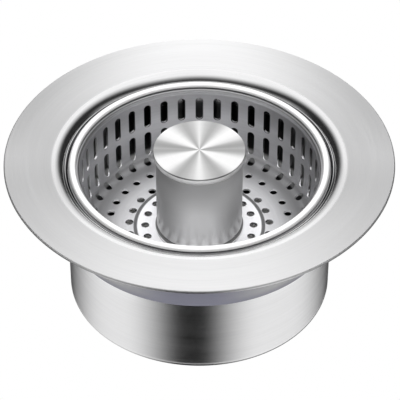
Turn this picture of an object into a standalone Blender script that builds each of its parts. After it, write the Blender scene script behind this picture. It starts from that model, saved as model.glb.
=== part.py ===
"""Kitchen sink drain set: flange, lift-out strainer basket and pop-up stopper.

Run with: blender --background --python part.py
Lengths are in metres, +Z is up, and the front is towards -Y. The origin is the middle of the sleeve's foot.
Every round piece is turned about the Z axis, so each moving piece has its origin on that axis.
Heights are stacked up from the foot, and widths out from the stem or in from the sleeve, so that every
piece follows the sizes of those that carry it.
"""
import math

import bmesh
import bpy
from mathutils import Matrix, Vector

# Clearances and cutting allowance
GAP = 0.0003                  # between pieces that touch
RUNNING_GAP = 0.0005          # between the rotor and the cam when the plug is up
LIFT_CLEARANCE = 0.0004       # between the stopper and the neck when the plug is up
PRESS_CLEARANCE = 0.0006      # between the cap and the housing when the plug is down
OVERRUN = 0.001               # how far a cutter runs past the wall that it cuts

# Facets round a full turn
LARGE_FACETS = 48
SMALL_FACETS = 28
FINE_FACETS = 18
HOLE_FACETS = 6

# Sink flange: with these widths its brim is 4.5 inches across
SLEEVE_RADIUS = 0.03945
FLANGE_SHEET = 0.001
THROAT_BEND = 0.0047          # radius of the bend from the brim into the sleeve
BRIM_SLOPE_WIDTH = 0.0074     # inner part of the brim, which falls towards the throat
BRIM_DISH = 0.0012            # how far it falls
BRIM_FLAT_WIDTH = 0.0066      # level outer part of the brim
BRIM_ROUND_SHARE = 0.45       # round of the brim's edge, as a share of the sheet
FOOT_INNER_ROUND = 0.0002     # bend inside the foot
FOOT_LEDGE = 0.00685          # level width between the sleeve's wall and the turned-up seat

# Neck gasket
GASKET_WALL = 0.0017
GASKET_DEPTH = 0.0208         # brim's top edge to the gasket's lower end
GASKET_ROUND = 0.0007

# Strainer basket
BASKET_SHEET = 0.0008
BASKET_DEPTH = 0.0269         # brim's top edge to the floor
BASKET_CORNER = 0.004
BASKET_LIP_WIDTH = 0.0016
BASKET_LIP_BEND = 0.001
LIP_DROP = 0.0032             # brim's top edge to the lip's upper face
GROOVE_WIDTH = 0.0011
GROOVE_DEPTH = 0.0003
GROOVE_SHARE = 0.276          # place of the groove on the way from the collar to the wall

# Slots in the basket wall
SLOTS_PER_ROW = 40
SLOT_WIDTH = 0.002
SLOT_LENGTH_SHARE = 0.305     # length of a slot, as a share of the basket's depth
SLOT_DROP_SHARES = (0.384, 0.776)      # middle of each row below the brim, as a share of that depth

# Holes in the basket floor: places on the way from the collar to the wall, and number of holes
HOLE_RADIUS = 0.0011
RING_SHARES = (0.142, 0.363, 0.646, 0.894)
RING_COUNTS = (20, 25, 32, 37)

# Polished rim ring and the seal round the lip
RIM_OVERHANG = 0.00093        # how far the ring reaches past the lip
RIM_WIDTH = 0.00223
RIM_HEIGHT = 0.0012
RIM_ROUND = 0.00055
SEAL_WALL = 0.0011            # thickness beside the lip's upper face
SEAL_LEG = 0.0011             # how far the seal reaches below the lip
SEAL_FOLD = 0.0012            # how far it reaches in under the lip

# Stem and what guides it
STEM_RADIUS = 0.003
STEM_SHOULDER = 0.0006        # step from the stem to its threaded end
STEM_LIFT = 0.0004            # foot to the stem's lower end
STEM_END = 0.0002             # how far the stem stands out of its nut
BUSH_WALL = 0.0014
BUSH_HEIGHT = 0.0048
O_RING_HEIGHT = 0.0015

# Stopper under the basket
DISC_OVERLAP = 0.0031         # how far the disc reaches past the seat's crest
DISC_RIM_HEIGHT = 0.0022
DISC_WEB = 0.0015
PLATE_INSET = 0.0007          # plate's edge to the disc's edge
PLATE_THICKNESS = 0.001
RETAINER_CLEARANCE = 0.0023   # retainer's edge to the seat's bore
RETAINER_THICKNESS = 0.0008
STEM_NUT_WALL = 0.0013        # bore to the flats
STEM_NUT_THICKNESS = 0.0014

# Core housing: a tube on the basket floor and a neck through it, held by a nut
NECK_WALL = 0.003
NECK_END = 0.0003             # how far the neck stands out of the nut
NUT_WALL = 0.0023             # bore to the flats
NUT_THICKNESS = 0.0029
WASHER_WIDTH = 0.0045
WASHER_THICKNESS = 0.001
HOUSING_WALL = 0.0013
HOUSING_FLOOR = 0.002

# Core spring
SPRING_WIRE = 0.0009          # diameter of the wire
SPRING_LENGTH = 0.0065
SPRING_LEDGE = 0.00115        # neck's bore to the inside of the spring
SPRING_CLEARANCE = 0.00225    # outside of the spring to the housing's bore
SPRING_TURNS = 4
POINTS_PER_TURN = 10

# Latch inside the housing
POP_TRAVEL = 0.008            # how far the plug rises
CAM_HEIGHT = 0.0029
CAM_WEB = 0.0015
CAM_WALL = 0.0028
ROTOR_CLEARANCE = 0.0007      # rotor's edge to the housing's bore
ROTOR_BODY = 0.0025
TOOTH_COUNT = 8
TOOTH_RISE = 0.0008
CLIP_CLEARANCE = 0.001        # clip's edge to the cam's bore
CLIP_THICKNESS = 0.0008

# Collar round the foot of the knob
COLLAR_OVERHANG = 0.0004      # how far it reaches past the knob
COLLAR_HEIGHT = 0.0012
COLLAR_CHAMFER = 0.0005

# Knob
KNOB_WALL = 0.00115
GLIDE_WALL = 0.00045
GLIDE_HEIGHT = 0.0028
CAP_OVERHANG = 0.00077        # how far the cap reaches past the shell
CAP_THICKNESS = 0.0024
CAP_CHAMFER = 0.0006
CAP_SPIGOT_WALL = 0.0017
CAP_SPIGOT_DEPTH = 0.002
CAP_BORE_DEPTH = 0.0011       # blind hole in the cap for the stem

# Heights of the stopper, from the foot up
stem_bottom = STEM_LIFT
stem_nut_bottom = stem_bottom + STEM_END
stem_nut_top = stem_nut_bottom + STEM_NUT_THICKNESS
retainer_bottom = stem_nut_top + GAP
retainer_top = retainer_bottom + RETAINER_THICKNESS
web_bottom = retainer_top + GAP
disc_top = web_bottom + DISC_WEB
disc_bottom = disc_top - DISC_RIM_HEIGHT
seat_rise = disc_bottom - GAP
plate_bottom = disc_top + GAP
plate_top = plate_bottom + PLATE_THICKNESS

# Heights of the neck, the basket and the brim, which leave the stopper its travel
neck_bottom = plate_top + POP_TRAVEL + LIFT_CLEARANCE
nut_bottom = neck_bottom + NECK_END
nut_top = nut_bottom + NUT_THICKNESS
washer_bottom = nut_top + GAP
washer_top = washer_bottom + WASHER_THICKNESS
floor_bottom = washer_top + GAP
floor_top = floor_bottom + BASKET_SHEET
brim_top = floor_top + BASKET_DEPTH
lip_top = brim_top - LIP_DROP
lip_bottom = lip_top - BASKET_SHEET

# Heights of the housing and the knob, stacked on the basket floor
housing_bottom = floor_top + GAP
chamber_bottom = housing_bottom + HOUSING_FLOOR
collar_top = housing_bottom + COLLAR_HEIGHT
rotor_bottom = chamber_bottom + GAP + SPRING_LENGTH + GAP
rotor_root = rotor_bottom + ROTOR_BODY
rotor_tip = rotor_root + TOOTH_RISE
cam_bottom = rotor_tip + POP_TRAVEL + RUNNING_GAP
cam_top = cam_bottom + CAM_HEIGHT
housing_top = cam_top + GAP
spigot_bottom = housing_top + PRESS_CLEARANCE
cap_bottom = spigot_bottom + CAP_SPIGOT_DEPTH
cap_top = cap_bottom + CAP_THICKNESS

# Radii of the stem, the housing and the knob, from the axis out
stem_hole = STEM_RADIUS + GAP
thread_radius = STEM_RADIUS - STEM_SHOULDER
thread_hole = thread_radius + GAP
bush_outer = stem_hole + BUSH_WALL
neck_bore = bush_outer + GAP
neck_radius = neck_bore + NECK_WALL
neck_hole = neck_radius + GAP
spring_radius = neck_bore + SPRING_LEDGE + SPRING_WIRE / 2
housing_bore = spring_radius + SPRING_WIRE / 2 + SPRING_CLEARANCE
housing_radius = housing_bore + HOUSING_WALL
housing_hole = housing_radius + GAP
knob_bore = housing_hole + GLIDE_WALL + GAP
knob_radius = knob_bore + KNOB_WALL
spigot_radius = knob_bore - GAP
cap_radius = knob_radius + CAP_OVERHANG
collar_radius = knob_radius + COLLAR_OVERHANG

# Radii of the flange, from the sleeve
sleeve_bore = SLEEVE_RADIUS - FLANGE_SHEET
throat_centre_radius = sleeve_bore + THROAT_BEND
brim_flat_inner = throat_centre_radius + BRIM_SLOPE_WIDTH
flange_radius = brim_flat_inner + BRIM_FLAT_WIDTH
seat_bore = sleeve_bore - FOOT_LEDGE - FLANGE_SHEET
seat_crest_radius = seat_bore + FLANGE_SHEET / 2

# The throat's bend meets the sloping brim tangentially
brim_slope = math.atan2(BRIM_DISH, BRIM_SLOPE_WIDTH)
throat_centre_height = brim_top - BRIM_DISH - THROAT_BEND * math.cos(brim_slope)


def start_empty():
    """Remove the objects of the file that the script runs in."""
    for thing in list(bpy.data.objects):
        bpy.data.objects.remove(thing, do_unlink=True)


def material(name, colour, roughness, metallic):
    """A plain Principled material."""
    made = bpy.data.materials.new(name)
    made.use_nodes = True
    shader = made.node_tree.nodes["Principled BSDF"]
    shader.inputs["Base Color"].default_value = (*colour, 1)
    shader.inputs["Roughness"].default_value = roughness
    shader.inputs["Metallic"].default_value = metallic
    made.diffuse_color = (*colour, 1)
    return made


def rounded(corners, steps=3):
    """Outline from (radius, height, fillet) corners, each fillet drawn as an arc of a few steps."""
    outline = []
    for index, (radius, height, fillet) in enumerate(corners):
        here = Vector((radius, height))
        if not fillet:
            outline.append(here)
            continue
        before = Vector(corners[index - 1][:2]) - here
        after = Vector(corners[(index + 1) % len(corners)][:2]) - here
        half = before.angle(after) / 2
        middle = here + (before.normalized() + after.normalized()).normalized() * fillet / math.sin(half)
        first = here + before.normalized() * fillet / math.tan(half) - middle
        last = here + after.normalized() * fillet / math.tan(half) - middle
        turn = first.angle_signed(last)
        for step in range(steps + 1):
            outline.append(middle + Matrix.Rotation(-turn * step / steps, 2) @ first)
    return outline


def finish(name, bm, look, crease=math.radians(35)):
    """Turn a bmesh into a named object with a material and smooth shading between its sharp edges."""
    bmesh.ops.recalc_face_normals(bm, faces=bm.faces)
    mesh = bpy.data.meshes.new(name)
    bm.to_mesh(mesh)
    bm.free()
    mesh.materials.append(look)
    mesh.shade_smooth()
    mesh.set_sharp_from_angle(angle=crease)
    made = bpy.data.objects.new(name, mesh)
    bpy.context.collection.objects.link(made)
    return made


def spun(outline, facets):
    """Closed surface of an outline of (radius, height) points turned about the Z axis."""
    bm = bmesh.new()
    loop = [bm.verts.new((point[0], 0, point[1])) for point in outline]
    edges = [bm.edges.new((loop[i - 1], loop[i])) for i in range(len(loop))]
    bmesh.ops.spin(bm, geom=loop + edges, axis=(0, 0, 1), cent=(0, 0, 0), angle=math.tau,
                   steps=facets, use_merge=True)
    on_axis = [vert for vert in bm.verts if math.hypot(vert.co.x, vert.co.y) < GAP / facets]
    if on_axis:
        bmesh.ops.remove_doubles(bm, verts=on_axis, dist=GAP / facets)
    return bm


def turned(name, corners, facets, look, steps=3):
    """Named piece turned from rounded corners."""
    return finish(name, spun(rounded(corners, steps), facets), look)


def tube_corners(inner, outer, bottom, top, fillet=0.0):
    """Corners of a plain ring, with a fillet on its outer edges."""
    return [(inner, bottom, 0), (outer, bottom, fillet), (outer, top, fillet), (inner, top, 0)]


def prism(bm, outline, place, depth):
    """Add a closed prism: an outline of (x, y) points placed by a matrix and run along its z."""
    low = [bm.verts.new(place @ Vector((x, y, 0))) for x, y in outline]
    high = [bm.verts.new(place @ Vector((x, y, depth))) for x, y in outline]
    bm.faces.new(reversed(low))
    bm.faces.new(high)
    for i in range(len(low)):
        bm.faces.new((low[i - 1], low[i], high[i], high[i - 1]))


def polygon(radius, sides):
    """Corner points of a regular polygon."""
    angles = [math.tau * i / sides for i in range(sides)]
    return [(radius * math.cos(angle), radius * math.sin(angle)) for angle in angles]


def cut(piece, cutter):
    """Cut a piece with a cutter that stays out of the model."""
    cutter.hide_render = True
    cutter.display_type = "WIRE"
    bore = piece.modifiers.new(cutter.name, "BOOLEAN")
    bore.operation = "DIFFERENCE"
    bore.solver = "EXACT"
    bore.object = cutter


def throat_point(angle, offset):
    """Point above the throat's bend: angle from the sleeve's wall up to the brim, offset off its surface."""
    reach = THROAT_BEND + offset
    return (throat_centre_radius - reach * math.cos(angle), throat_centre_height + reach * math.sin(angle))


def throat_angle(height):
    """Angle at which the rim seal's seat in the throat has a given height."""
    return math.asin((height - throat_centre_height) / (THROAT_BEND + GAP))


def lip_edge():
    """Radius of the basket's lip, which leaves the seal its wall beside the throat."""
    return throat_point(throat_angle(lip_top), GAP)[0] - SEAL_WALL - GAP


lip_radius = lip_edge()
basket_outer = lip_radius - BASKET_LIP_WIDTH
basket_bore = basket_outer - BASKET_SHEET
rim_outer = lip_radius + RIM_OVERHANG
rim_inner = rim_outer - RIM_WIDTH


def on_floor(share):
    """Radius of a place on the basket's floor, as a share of the way from the collar to the wall."""
    return collar_radius + (basket_bore - collar_radius) * share


def sink_flange(look):
    """Brim, throat, sleeve and turned-up seat as one drawn sheet."""
    bend_steps = 4
    bend_end = math.pi / 2 - brim_slope
    edge_round = FLANGE_SHEET * BRIM_ROUND_SHARE
    seat_edge = seat_rise - FLANGE_SHEET / 4
    upper = [(flange_radius, brim_top - FLANGE_SHEET, edge_round),
             (flange_radius, brim_top, edge_round),
             (brim_flat_inner, brim_top, 0)]
    inner_bend = [(*throat_point(bend_end * (1 - step / bend_steps), 0), 0) for step in range(bend_steps + 1)]
    foot = [(sleeve_bore, FLANGE_SHEET, FOOT_INNER_ROUND),
            (seat_bore + FLANGE_SHEET, FLANGE_SHEET, 0),
            (seat_bore + FLANGE_SHEET, seat_edge, 0),
            (seat_crest_radius, seat_rise, 0),
            (seat_bore, seat_edge, 0),
            (seat_bore, 0, FLANGE_SHEET / 2),
            (SLEEVE_RADIUS, 0, FLANGE_SHEET + FOOT_INNER_ROUND)]
    outer_bend = [(*throat_point(bend_end * step / bend_steps, -FLANGE_SHEET), 0)
                  for step in range(bend_steps + 1)]
    lower = [(brim_flat_inner, brim_top - FLANGE_SHEET, 0)]
    corners = upper + inner_bend + foot + outer_bend + lower
    return turned("sink_flange", corners, LARGE_FACETS, look, steps=1)


def neck_gasket(look):
    """Soft collar round the neck, close under the brim."""
    inner = SLEEVE_RADIUS + GAP
    bottom = brim_top - GASKET_DEPTH
    corners = tube_corners(inner, inner + GASKET_WALL, bottom, throat_centre_height, GASKET_ROUND)
    return turned("neck_gasket", corners, LARGE_FACETS, look, steps=1)


def slot_outline():
    """Slot with round ends, its length along y."""
    end_steps = 3
    half = BASKET_DEPTH * SLOT_LENGTH_SHARE / 2 - SLOT_WIDTH / 2
    ends = []
    for side in (1, -1):
        for step in range(end_steps + 1):
            angle = math.pi * step / end_steps
            ends.append((side * math.cos(angle) * SLOT_WIDTH / 2,
                         side * (half + math.sin(angle) * SLOT_WIDTH / 2)))
    return ends


def turn_from_back(index, count):
    """Turn of one of a number of places round the Z axis, the first of them at the back."""
    return Matrix.Rotation(math.pi / 2 + math.tau * index / count, 4, "Z")


def slot_cutter(look):
    """The slots of the basket's wall as one cutter."""
    bm = bmesh.new()
    inside = basket_bore - BASKET_CORNER / 2
    depth = basket_outer - inside + OVERRUN
    facing_out = Matrix(((0, 0, 1, 0), (1, 0, 0, 0), (0, 1, 0, 0), (0, 0, 0, 1)))
    for share in SLOT_DROP_SHARES:
        place = Matrix.Translation((inside, 0, brim_top - BASKET_DEPTH * share)) @ facing_out
        for index in range(SLOTS_PER_ROW):
            prism(bm, slot_outline(), turn_from_back(index, SLOTS_PER_ROW) @ place, depth)
    return finish("slot_cutter", bm, look)


def hole_cutter(look):
    """The holes of the basket's floor as one cutter."""
    bm = bmesh.new()
    depth = OVERRUN + BASKET_SHEET + BASKET_CORNER / 2
    for share, count in zip(RING_SHARES, RING_COUNTS):
        place = Matrix.Translation((on_floor(share), 0, floor_bottom - OVERRUN))
        for index in range(count):
            prism(bm, polygon(HOLE_RADIUS, HOLE_FACETS), turn_from_back(index, count) @ place, depth)
    return finish("hole_cutter", bm, look)


def strainer_basket(look):
    """Drawn cup with an outward lip, a groove in its floor, slots and holes."""
    groove_inner = on_floor(GROOVE_SHARE) - GROOVE_WIDTH / 2
    groove_outer = groove_inner + GROOVE_WIDTH
    groove_bottom = floor_top - GROOVE_DEPTH
    corners = [(neck_hole, floor_bottom, 0),
               (basket_outer, floor_bottom, BASKET_CORNER + BASKET_SHEET),
               (basket_outer, lip_bottom, 0),
               (lip_radius, lip_bottom, 0),
               (lip_radius, lip_top, 0),
               (basket_bore, lip_top, BASKET_LIP_BEND),
               (basket_bore, floor_top, BASKET_CORNER),
               (groove_outer, floor_top, 0),
               (groove_outer, groove_bottom, 0),
               (groove_inner, groove_bottom, 0),
               (groove_inner, floor_top, 0),
               (neck_hole, floor_top, 0)]
    basket = turned("strainer_basket", corners, SLOTS_PER_ROW, look, steps=2)
    cut(basket, slot_cutter(look))
    cut(basket, hole_cutter(look))
    even_shading = basket.modifiers.new("even_shading", "WEIGHTED_NORMAL")
    even_shading.keep_sharp = True
    return basket


def basket_rim(look):
    """Polished bead on the basket's lip."""
    bottom = lip_top + GAP
    top = bottom + RIM_HEIGHT
    corners = [(rim_inner, bottom, 0), (rim_outer, bottom, 0),
               (rim_outer, top, RIM_ROUND), (rim_inner, top, RIM_ROUND)]
    return turned("basket_rim", corners, LARGE_FACETS, look, steps=2)


def rim_seal(look):
    """Soft ring round the basket's lip, shaped to the throat's bend that it rests on."""
    inner = lip_radius + GAP
    fold = inner - SEAL_FOLD
    top = lip_bottom - GAP
    bottom = top - SEAL_LEG
    low = throat_angle(bottom)
    high = throat_angle(lip_top)
    seat_steps = 2
    seat = [(*throat_point(low + (high - low) * step / seat_steps, GAP), 0) for step in range(seat_steps + 1)]
    corners = seat + [(inner, lip_top, 0), (inner, top, 0), (fold, top, 0), (fold, bottom, 0)]
    return turned("rim_seal", corners, LARGE_FACETS, look)


def post_collar(look):
    """Chamfered ring on the floor round the housing."""
    corners = [(housing_hole, housing_bottom, 0),
               (collar_radius, housing_bottom, 0),
               (collar_radius, collar_top - COLLAR_CHAMFER, 0),
               (collar_radius - COLLAR_CHAMFER, collar_top, 0),
               (housing_hole, collar_top, 0)]
    return turned("post_collar", corners, SMALL_FACETS, look)


def core_housing(look):
    """Guide tube with a floor and a threaded neck that goes down through the basket."""
    corners = [(neck_bore, neck_bottom, 0),
               (neck_radius, neck_bottom, 0),
               (neck_radius, housing_bottom, 0),
               (housing_radius, housing_bottom, 0),
               (housing_radius, housing_top, 0),
               (housing_bore, housing_top, 0),
               (housing_bore, chamber_bottom, 0),
               (neck_bore, chamber_bottom, 0)]
    return turned("core_housing", corners, SMALL_FACETS, look)


def housing_washer(look):
    """Flat washer under the basket floor."""
    corners = tube_corners(neck_hole, neck_hole + WASHER_WIDTH, washer_bottom, washer_top)
    return turned("housing_washer", corners, SMALL_FACETS, look)


def hexagon_point(apothem, angle):
    """Point at an angle on a hexagon whose flats are an apothem away from its middle."""
    side = math.tau / 6
    reach = apothem / math.cos(angle % side - side / 2)
    return (reach * math.cos(angle), reach * math.sin(angle))


def hex_nut(name, bore, wall, bottom, top, look):
    """Six-sided nut with a round bore and a wall measured to its flats."""
    hole = polygon(bore, FINE_FACETS)
    flats = [hexagon_point(bore + wall, math.tau * i / FINE_FACETS) for i in range(FINE_FACETS)]
    bm = bmesh.new()
    levels = [[bm.verts.new((x, y, z)) for x, y in points]
              for points, z in ((flats, bottom), (flats, top), (hole, top), (hole, bottom))]
    for here, above in zip(levels, levels[1:] + levels[:1]):
        for i in range(FINE_FACETS):
            bm.faces.new((here[i - 1], here[i], above[i], above[i - 1]))
    return finish(name, bm, look, crease=math.radians(20))


def stem_bush(look):
    """Plastic guide for the stem in the housing's neck."""
    bottom = neck_bottom + GAP
    corners = tube_corners(stem_hole, bush_outer, bottom, bottom + BUSH_HEIGHT)
    return turned("stem_bush", corners, FINE_FACETS, look)


def stem_o_ring(look):
    """Soft ring above the bush."""
    bottom = neck_bottom + GAP + BUSH_HEIGHT + GAP
    corners = tube_corners(stem_hole, bush_outer, bottom, bottom + O_RING_HEIGHT)
    return turned("stem_o_ring", corners, FINE_FACETS, look)


def core_spring(look):
    """Round wire wound between the chamber's floor and the rotor."""
    bottom = chamber_bottom + GAP + SPRING_WIRE / 2
    rise = SPRING_LENGTH - SPRING_WIRE
    count = SPRING_TURNS * POINTS_PER_TURN
    spots = []
    for index in range(count + 1):
        share = index / count
        turn = Matrix.Rotation(math.tau * SPRING_TURNS * share, 3, "Z")
        spots.append(turn @ Vector((spring_radius, 0, bottom + rise * share)))
    curve = bpy.data.curves.new("core_spring", "CURVE")
    curve.dimensions = "3D"
    curve.bevel_depth = SPRING_WIRE / 2
    curve.bevel_resolution = 1
    curve.use_fill_caps = True
    wire = curve.splines.new("POLY")
    wire.points.add(count)
    for point, spot in zip(wire.points, spots):
        point.co = (*spot, 1)
    curve.materials.append(look)
    spring = bpy.data.objects.new("core_spring", curve)
    bpy.context.collection.objects.link(spring)
    apart = [(later - spot).length for index, spot in enumerate(spots)
             for later in spots[index + POINTS_PER_TURN // 2:]]
    print("core_spring, least gap between its turns in metres:", round(min(apart) - SPRING_WIRE, 6))
    return spring


def latch_cam(look):
    """Fixed ring in the top of the housing, with a web that guides the stem and notches for the rotor."""
    outer = housing_bore - GAP
    inner = outer - CAM_WALL
    web_under = cam_top - CAM_WEB
    corners = [(stem_hole, web_under, 0), (inner, web_under, 0), (inner, cam_bottom, 0),
               (outer, cam_bottom, 0), (outer, cam_top, 0), (stem_hole, cam_top, 0)]
    cam = turned("latch_cam", corners, FINE_FACETS, look)
    notches = bmesh.new()
    half_width = math.pi * (inner + outer) / 2 / TOOTH_COUNT / 4
    outline = [(inner - OVERRUN, -half_width), (outer + OVERRUN, -half_width),
               (outer + OVERRUN, half_width), (inner - OVERRUN, half_width)]
    for index in range(TOOTH_COUNT):
        turn = Matrix.Rotation(math.tau * (index + 1 / 2) / TOOTH_COUNT, 4, "Z")
        prism(notches, outline, turn @ Matrix.Translation((0, 0, cam_bottom - OVERRUN)), OVERRUN + TOOTH_RISE)
    cut(cam, finish("cam_cutter", notches, look))
    return cam


def latch_rotor(look):
    """Ring with saw teeth on top, which the spring pushes up and which turns round the stem."""
    points_per_tooth = 3
    count = TOOTH_COUNT * points_per_tooth
    teeth = [rotor_root + TOOTH_RISE * (i % points_per_tooth) / (points_per_tooth - 1) for i in range(count)]
    bm = bmesh.new()
    levels = []
    for radius in (stem_hole, housing_bore - ROTOR_CLEARANCE):
        spots = polygon(radius, count)
        levels.append([bm.verts.new((x, y, rotor_bottom)) for x, y in spots])
        levels.append([bm.verts.new((x, y, height)) for (x, y), height in zip(spots, teeth)])
    inner_flat, inner_teeth, outer_flat, outer_teeth = levels
    loops = (inner_flat, inner_teeth, outer_teeth, outer_flat, inner_flat)
    for first, second in zip(loops, loops[1:]):
        for i in range(count):
            bm.faces.new((first[i - 1], first[i], second[i], second[i - 1]))
    return finish("latch_rotor", bm, look, crease=math.radians(20))


def rotor_clip(look):
    """Clip on the stem that the rotor bears against."""
    bottom = rotor_tip + GAP
    outer = housing_bore - GAP - CAM_WALL - CLIP_CLEARANCE
    corners = tube_corners(stem_hole, outer, bottom, bottom + CLIP_THICKNESS)
    return turned("rotor_clip", corners, FINE_FACETS, look)


def knob_cap(look):
    """Spun disc with a chamfered edge, a spigot that fits the shell and a blind hole for the stem."""
    spigot_bore = spigot_radius - CAP_SPIGOT_WALL
    bore_top = cap_bottom + CAP_BORE_DEPTH
    corners = [(0, cap_top, 0),
               (cap_radius - CAP_CHAMFER, cap_top, 0),
               (cap_radius, cap_top - CAP_CHAMFER, 0),
               (cap_radius, cap_bottom, 0),
               (spigot_radius, cap_bottom, 0),
               (spigot_radius, spigot_bottom, 0),
               (spigot_bore, spigot_bottom, 0),
               (spigot_bore, cap_bottom, 0),
               (stem_hole, cap_bottom, 0),
               (stem_hole, bore_top, 0),
               (0, bore_top, 0)]
    return turned("knob_cap", corners, SMALL_FACETS, look)


def knob_shell(look):
    """Tall tube of the knob."""
    corners = tube_corners(knob_bore, knob_radius, collar_top + GAP, cap_bottom - GAP)
    return turned("knob_shell", corners, SMALL_FACETS, look)


def cap_insert(look):
    """Moulded socket between the stem and the cap's spigot."""
    outer = spigot_radius - CAP_SPIGOT_WALL - GAP
    corners = tube_corners(stem_hole, outer, housing_top + GAP, cap_bottom - GAP)
    return turned("cap_insert", corners, FINE_FACETS, look)


def glide_ring(look):
    """Thin nylon ring in the foot of the shell, running on the housing."""
    bottom = collar_top + 2 * GAP
    corners = tube_corners(housing_hole, housing_hole + GLIDE_WALL, bottom, bottom + GLIDE_HEIGHT)
    return turned("glide_ring", corners, SMALL_FACETS, look)


def stem(look):
    """Rod from the cap down to the stopper, thinner where its thread starts."""
    shoulder = plate_top + GAP
    top = cap_bottom + CAP_BORE_DEPTH - GAP
    corners = [(0, top, 0), (STEM_RADIUS, top, 0), (STEM_RADIUS, shoulder, 0),
               (thread_radius, shoulder, 0), (thread_radius, stem_bottom, 0), (0, stem_bottom, 0)]
    return turned("stem", corners, FINE_FACETS, look)


def seal_plate(look):
    """Steel disc that presses the seal down."""
    outer = seat_crest_radius + DISC_OVERLAP - PLATE_INSET
    corners = tube_corners(thread_hole, outer, plate_bottom, plate_top)
    return turned("seal_plate", corners, LARGE_FACETS, look)


def seal_disc(look):
    """Soft disc with a thicker rim that lies on the seat."""
    outer = seat_crest_radius + DISC_OVERLAP
    rim_bore = seat_bore - RETAINER_CLEARANCE + GAP
    corners = [(thread_hole, web_bottom, 0),
               (rim_bore, web_bottom, 0),
               (rim_bore, disc_bottom, 0),
               (outer, disc_bottom, 0),
               (outer, disc_top, DISC_RIM_HEIGHT / 4),
               (thread_hole, disc_top, 0)]
    return turned("seal_disc", corners, LARGE_FACETS, look, steps=1)


def seal_retainer(look):
    """Steel disc that clamps the seal from below."""
    corners = tube_corners(thread_hole, seat_bore - RETAINER_CLEARANCE, retainer_bottom, retainer_top)
    return turned("seal_retainer", corners, LARGE_FACETS, look)


def build():
    """Model every piece."""
    start_empty()
    brushed = material("brushed_steel", (0.62, 0.62, 0.63), 0.3, 1)
    drawn = material("drawn_steel", (0.5, 0.5, 0.51), 0.32, 1)
    polished = material("polished_steel", (0.8, 0.8, 0.8), 0.12, 1)
    satin = material("satin_steel", (0.6, 0.6, 0.61), 0.34, 1)
    spun_face = material("spun_steel", (0.66, 0.66, 0.67), 0.26, 1)
    spring_steel = material("spring_steel", (0.35, 0.35, 0.36), 0.35, 1)
    brass = material("brass", (0.65, 0.47, 0.2), 0.3, 1)
    soft_grey = material("grey_silicone", (0.2, 0.2, 0.26), 0.6, 0)
    soft_clear = material("clear_silicone", (0.7, 0.7, 0.7), 0.45, 0)
    soft_black = material("black_rubber", (0.02, 0.02, 0.02), 0.6, 0)
    nylon = material("white_nylon", (0.75, 0.74, 0.7), 0.5, 0)
    sink_flange(brushed)
    neck_gasket(soft_grey)
    strainer_basket(drawn)
    basket_rim(polished)
    rim_seal(soft_clear)
    post_collar(polished)
    core_housing(brass)
    housing_washer(drawn)
    hex_nut("housing_nut", neck_hole, NUT_WALL, nut_bottom, nut_top, brass)
    stem_bush(nylon)
    stem_o_ring(soft_black)
    core_spring(spring_steel)
    latch_cam(nylon)
    latch_rotor(nylon)
    rotor_clip(spring_steel)
    knob_cap(spun_face)
    knob_shell(satin)
    cap_insert(nylon)
    glide_ring(nylon)
    stem(drawn)
    seal_plate(drawn)
    seal_disc(soft_black)
    seal_retainer(drawn)
    hex_nut("stem_nut", thread_hole, STEM_NUT_WALL, stem_nut_bottom, stem_nut_top, brass)


build()
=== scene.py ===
"""Looks of the kitchen sink drain set: fine turned pieces, materials, studio and camera.

Lengths are in millimetres, but for the studio's, and turn into metres where a mesh or a material is made. The
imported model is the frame: every piece stands where its CAD node stands and rides on the same body.
The photo's front is towards -Y.
"""
import math

import bpy
from mathutils import Matrix, Vector


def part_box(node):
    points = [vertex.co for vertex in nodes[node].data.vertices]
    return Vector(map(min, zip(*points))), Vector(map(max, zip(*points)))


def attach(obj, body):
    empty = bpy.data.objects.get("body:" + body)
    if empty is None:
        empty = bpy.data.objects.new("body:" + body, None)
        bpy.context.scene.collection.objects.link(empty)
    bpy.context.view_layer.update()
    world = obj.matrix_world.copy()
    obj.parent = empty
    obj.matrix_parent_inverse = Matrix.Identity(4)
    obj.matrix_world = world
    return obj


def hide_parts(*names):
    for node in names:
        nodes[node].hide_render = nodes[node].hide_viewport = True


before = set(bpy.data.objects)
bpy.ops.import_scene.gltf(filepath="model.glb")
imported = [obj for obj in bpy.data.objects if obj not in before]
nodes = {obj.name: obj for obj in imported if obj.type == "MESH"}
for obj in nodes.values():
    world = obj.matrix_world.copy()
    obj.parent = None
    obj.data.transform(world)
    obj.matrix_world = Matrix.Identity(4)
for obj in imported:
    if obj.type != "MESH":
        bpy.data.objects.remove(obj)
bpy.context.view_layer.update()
scene = bpy.context.scene

MM = 0.001
TURN = math.tau
SEGMENTS = 192                # facets round a turned piece


def size_of(node):
    """Outer radius, foot and top of a round CAD node."""
    low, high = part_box(node)
    return tuple(round(length / MM, 2) for length in (high[0], low[2], high[2]))


# Flange and gasket
BRIM_RADIUS, FOOT, BRIM_TOP = size_of("sink_flange")
GASKET_RADIUS, GASKET_FOOT, GASKET_TOP = size_of("neck_gasket")
FLANGE_SHEET = 1.0
BRIM_ROUND = 0.42
BRIM_FLAT_WIDTH = 6.6
SLOPE_ROUND = 20.0            # where the flat part of the brim turns down
SLEEVE_RADIUS = 39.45
SLEEVE_ROUND = 3.7            # outside of the bend from the brim into the sleeve
SLEEVE_ROUND_DROP = 2.8
FOOT_ROUND = 0.12
THROAT_BEND = 4.7             # inside of that bend
THROAT_ANGLES = (99.2, 140.5, 145.5, 180)
STEP_RADII = (39.5, 39.22)    # fine step in the throat
STEP_LEVEL = 44.12
SEAT_RADIUS = 31.6
SEAT_TOP = 2.4
GASKET_INSIDE = 39.75

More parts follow.
